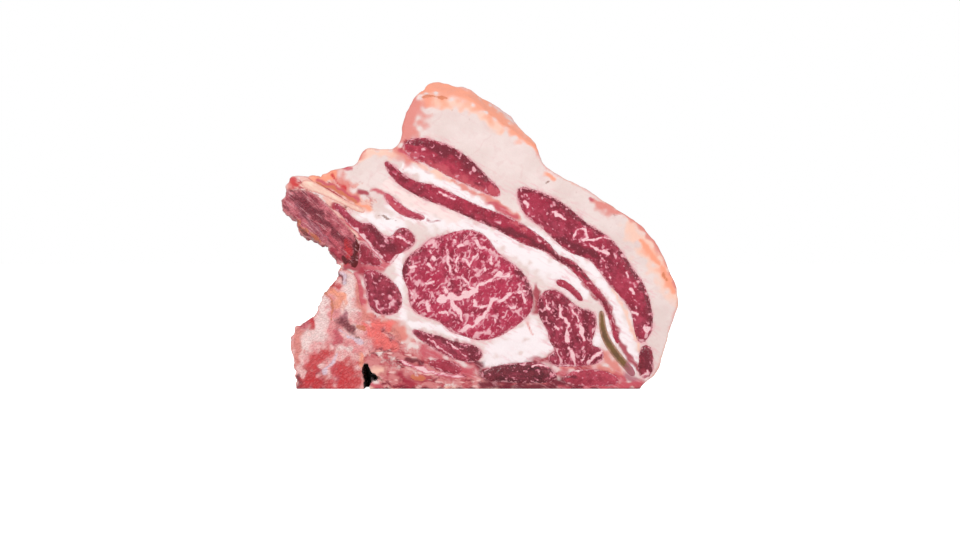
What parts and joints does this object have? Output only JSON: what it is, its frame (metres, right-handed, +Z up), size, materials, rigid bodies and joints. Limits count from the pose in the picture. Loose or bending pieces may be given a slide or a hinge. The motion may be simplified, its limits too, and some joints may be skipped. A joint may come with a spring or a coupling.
{
  "type": "raw bone-in rib steak",
  "caption": "Thick raw rib steak on the bone, standing on its flat rib side: marbled eye muscle, outer muscles, fat cap, bones and gristle in one straight cut.",
  "frame": {"origin": "middle of the steak's width and thickness, at its flat base", "axes": "+X to the right in the shown cut face, +Y through the thickness away from that face, +Z up"},
  "size_m": [0.2978, 0.0572, 0.2311],
  "materials": {
    "fat": "moist white to pinkish raw fat, salmon at the outer rim",
    "lean": "moist raw lean, crimson with fine pale marbling",
    "dark_lean": "moist raw lean, dark maroon with fine pale marbling",
    "bone": "sawn bone with red marrow and pale cartilage",
    "gristle": "olive-brown gristle",
    "ligament": "cream ligament"
  },
  "bodies": {
    "root": {"fat": "fat", "rib_eye": "lean", "eye_cap": "lean", "spinal_lean": "lean", "spinal_wedge": "lean", "deep_lean": "dark_lean", "top_lean": "lean", "middle_lean": "lean", "outer_lean": "lean", "outer_lean_tip": "dark_lean", "cap_tail": "lean", "thin_lean": "lean", "costal_lean_upper": "lean", "costal_lean_lower": "lean", "bottom_lean": "dark_lean", "base_lean": "lean", "ligament": "ligament", "blade_cartilage": "gristle", "feather_bone": "bone", "chine_bone": "bone"}
  },
  "joints": []
}
